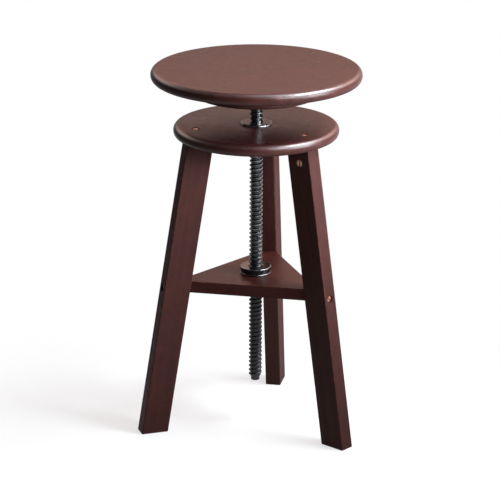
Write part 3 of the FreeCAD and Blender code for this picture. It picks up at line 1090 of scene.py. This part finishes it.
lamps = {
    "key": {
        "azimuth": 90, "height": 50, "far": 1.3, "aim": (0.0, 0.0, 0.47),
        "size": (0.74, 0.30), "spread": 100, "power": 7.5,
    },
    "sky": {
        "azimuth": 100, "height": 72, "far": 1.6, "aim": (0.0, 0.0, 0.45),
        "size": (1.2, 1.0), "spread": 180, "power": 6,
    },
    "side": {
        "azimuth": 45, "height": 22, "far": 1.2, "aim": (0.0, 0.0, 0.47),
        "size": (0.4, 0.3), "spread": 40, "power": 0.5,
    },
    "low": {
        "azimuth": 78, "height": 10, "far": 1.1, "aim": (-0.12, -0.07, 0.46),
        "size": (0.5, 0.36), "spread": 60, "power": 2.4,
    },
}
daylight = (0.96, 0.99, 1.05)
plainWhite = (1.0, 1.0, 1.0, 1.0)


def grey(level):
    return (level, level, level, 1.0)


def makeFloor():
    bm = bmesh.new()
    bmesh.ops.create_circle(bm, cap_ends=True, segments=96, radius=stage["floorSize"])
    floor = newPiece("floor", meshFrom("floor", bm))
    material = bpy.data.materials.new("white floor")
    material.use_nodes = True
    tree = material.node_tree
    tree.nodes.clear()
    rays = addNode(tree, "ShaderNodeLightPath", {}, {})
    direct = Wire(tree, rays.outputs["Is Camera Ray"])
    seen = direct + Wire(tree, rays.outputs["Is Glossy Ray"])
    seen = seen + Wire(tree, rays.outputs["Is Transmission Ray"])
    white = [stage["floorWhite"] * part for part in stage["floorTint"]]
    place = Wire(tree, addNode(tree, "ShaderNodeTexCoord", {}, {}).outputs["Object"])
    x, y = place.parts()[:2]
    sideways = math.cos(shot["azimuth"]) * x + math.sin(shot["azimuth"]) * y
    behind = math.cos(shot["azimuth"]) * y - math.sin(shot["azimuth"]) * x
    beside = 0.0 - sideways - stage["laneSpread"] * behind - stage["laneHalf"]
    across, along = stage["front"]
    before = -across * sideways - along * behind
    away = beside.between(*stage["laneFade"]).maths("MAXIMUM", before.between(*stage["frontFade"]))
    level = (away * (1.0 - direct)).tint(plainWhite, grey(stage["shade"]))
    paper = seen.node("ShaderNodeBsdfDiffuse", {}, {"Color": level.stretch(white)})
    glow = seen.node("ShaderNodeEmission", {}, {"Color": level, "Strength": stage["floorGlow"]})
    near = seen.node("ShaderNodeAddShader", {}, {0: paper, 1: glow})
    sweep = seen.node("ShaderNodeEmission", {}, {"Color": level, "Strength": 1.0})
    far = place.reach().between(*stage["near"])
    shown = seen.node("ShaderNodeMixShader", {}, {0: far, 1: near, 2: sweep})
    plain = seen.node("ShaderNodeBsdfDiffuse", {}, {"Color": grey(stage["floorGrey"])})
    both = seen.node("ShaderNodeMixShader", {}, {0: seen, 1: plain, 2: shown})
    addNode(tree, "ShaderNodeOutputMaterial", {}, {"Surface": both})
    floor.data.materials.append(material)


def makeWorld():
    world = bpy.data.worlds.new("studio")
    bpy.context.scene.world = world
    world.use_nodes = True
    tree = world.node_tree
    tree.nodes.clear()
    heading = Wire(tree, addNode(tree, "ShaderNodeTexCoord", {}, {}).outputs["Generated"])
    sockets = {0: heading, 1: Vector(stage["lightSide"]).normalized()}
    towards = heading.node("ShaderNodeVectorMath", {"operation": "DOT_PRODUCT"}, sockets, 1)
    level = heading.parts()[2]
    band = level.between(*stage["wallFoot"]) * (1.0 - level.between(*stage["wallTop"]))
    lit = towards.between(*stage["wallTurn"]) * band
    strength = stage["dim"] + (stage["lit"] - stage["dim"]) * lit
    colour = lit.tint(plainWhite, stage["wall"])
    backdrop = heading.node("ShaderNodeBackground", {}, {"Color": colour, "Strength": strength})
    addNode(tree, "ShaderNodeOutputWorld", {}, {"Surface": backdrop})


def makeLamps():
    for name, lamp in lamps.items():
        light = bpy.data.lights.new(name, "AREA")
        light.shape = "RECTANGLE"
        light.size, light.size_y = lamp["size"]
        light.energy = lamp["power"]
        light.color = daylight
        light.spread = math.radians(lamp["spread"])
        a, e = math.radians(lamp["azimuth"]), math.radians(lamp["height"])
        back = Vector((math.sin(a) * math.cos(e), -math.cos(a) * math.cos(e), math.sin(e)))
        item = bpy.data.objects.new(name, light)
        item.location = Vector(lamp["aim"]) + back * lamp["far"]
        item.rotation_euler = (-back).to_track_quat("-Z", "Y").to_euler()
        item.visible_camera = False
        bpy.context.scene.collection.objects.link(item)


def makeCamera():
    data = bpy.data.cameras.new("camera")
    data.sensor_width = shot["sensor"]
    data.lens = data.sensor_width * shot["focal"] / shot["frame"]
    data.shift_x = 0.5 - shot["centre"] / shot["frame"]
    data.clip_end = shot["clip"]
    camera = bpy.data.objects.new("camera", data)
    heading = Matrix.Rotation(shot["azimuth"], 3, "Z")
    tilt = Matrix.Rotation(math.pi / 2 - shot["down"], 3, "X")
    camera.rotation_euler = (heading @ tilt @ Matrix.Rotation(shot["roll"], 3, "Z")).to_euler()
    camera.location = heading @ Vector((0.0, -shot["far"], shot["height"]))
    bpy.context.scene.collection.objects.link(camera)
    bpy.context.scene.camera = camera


makeFloor()
makeWorld()
makeLamps()
makeCamera()
bpy.context.scene.view_settings.view_transform = "Standard"
print("stage done")
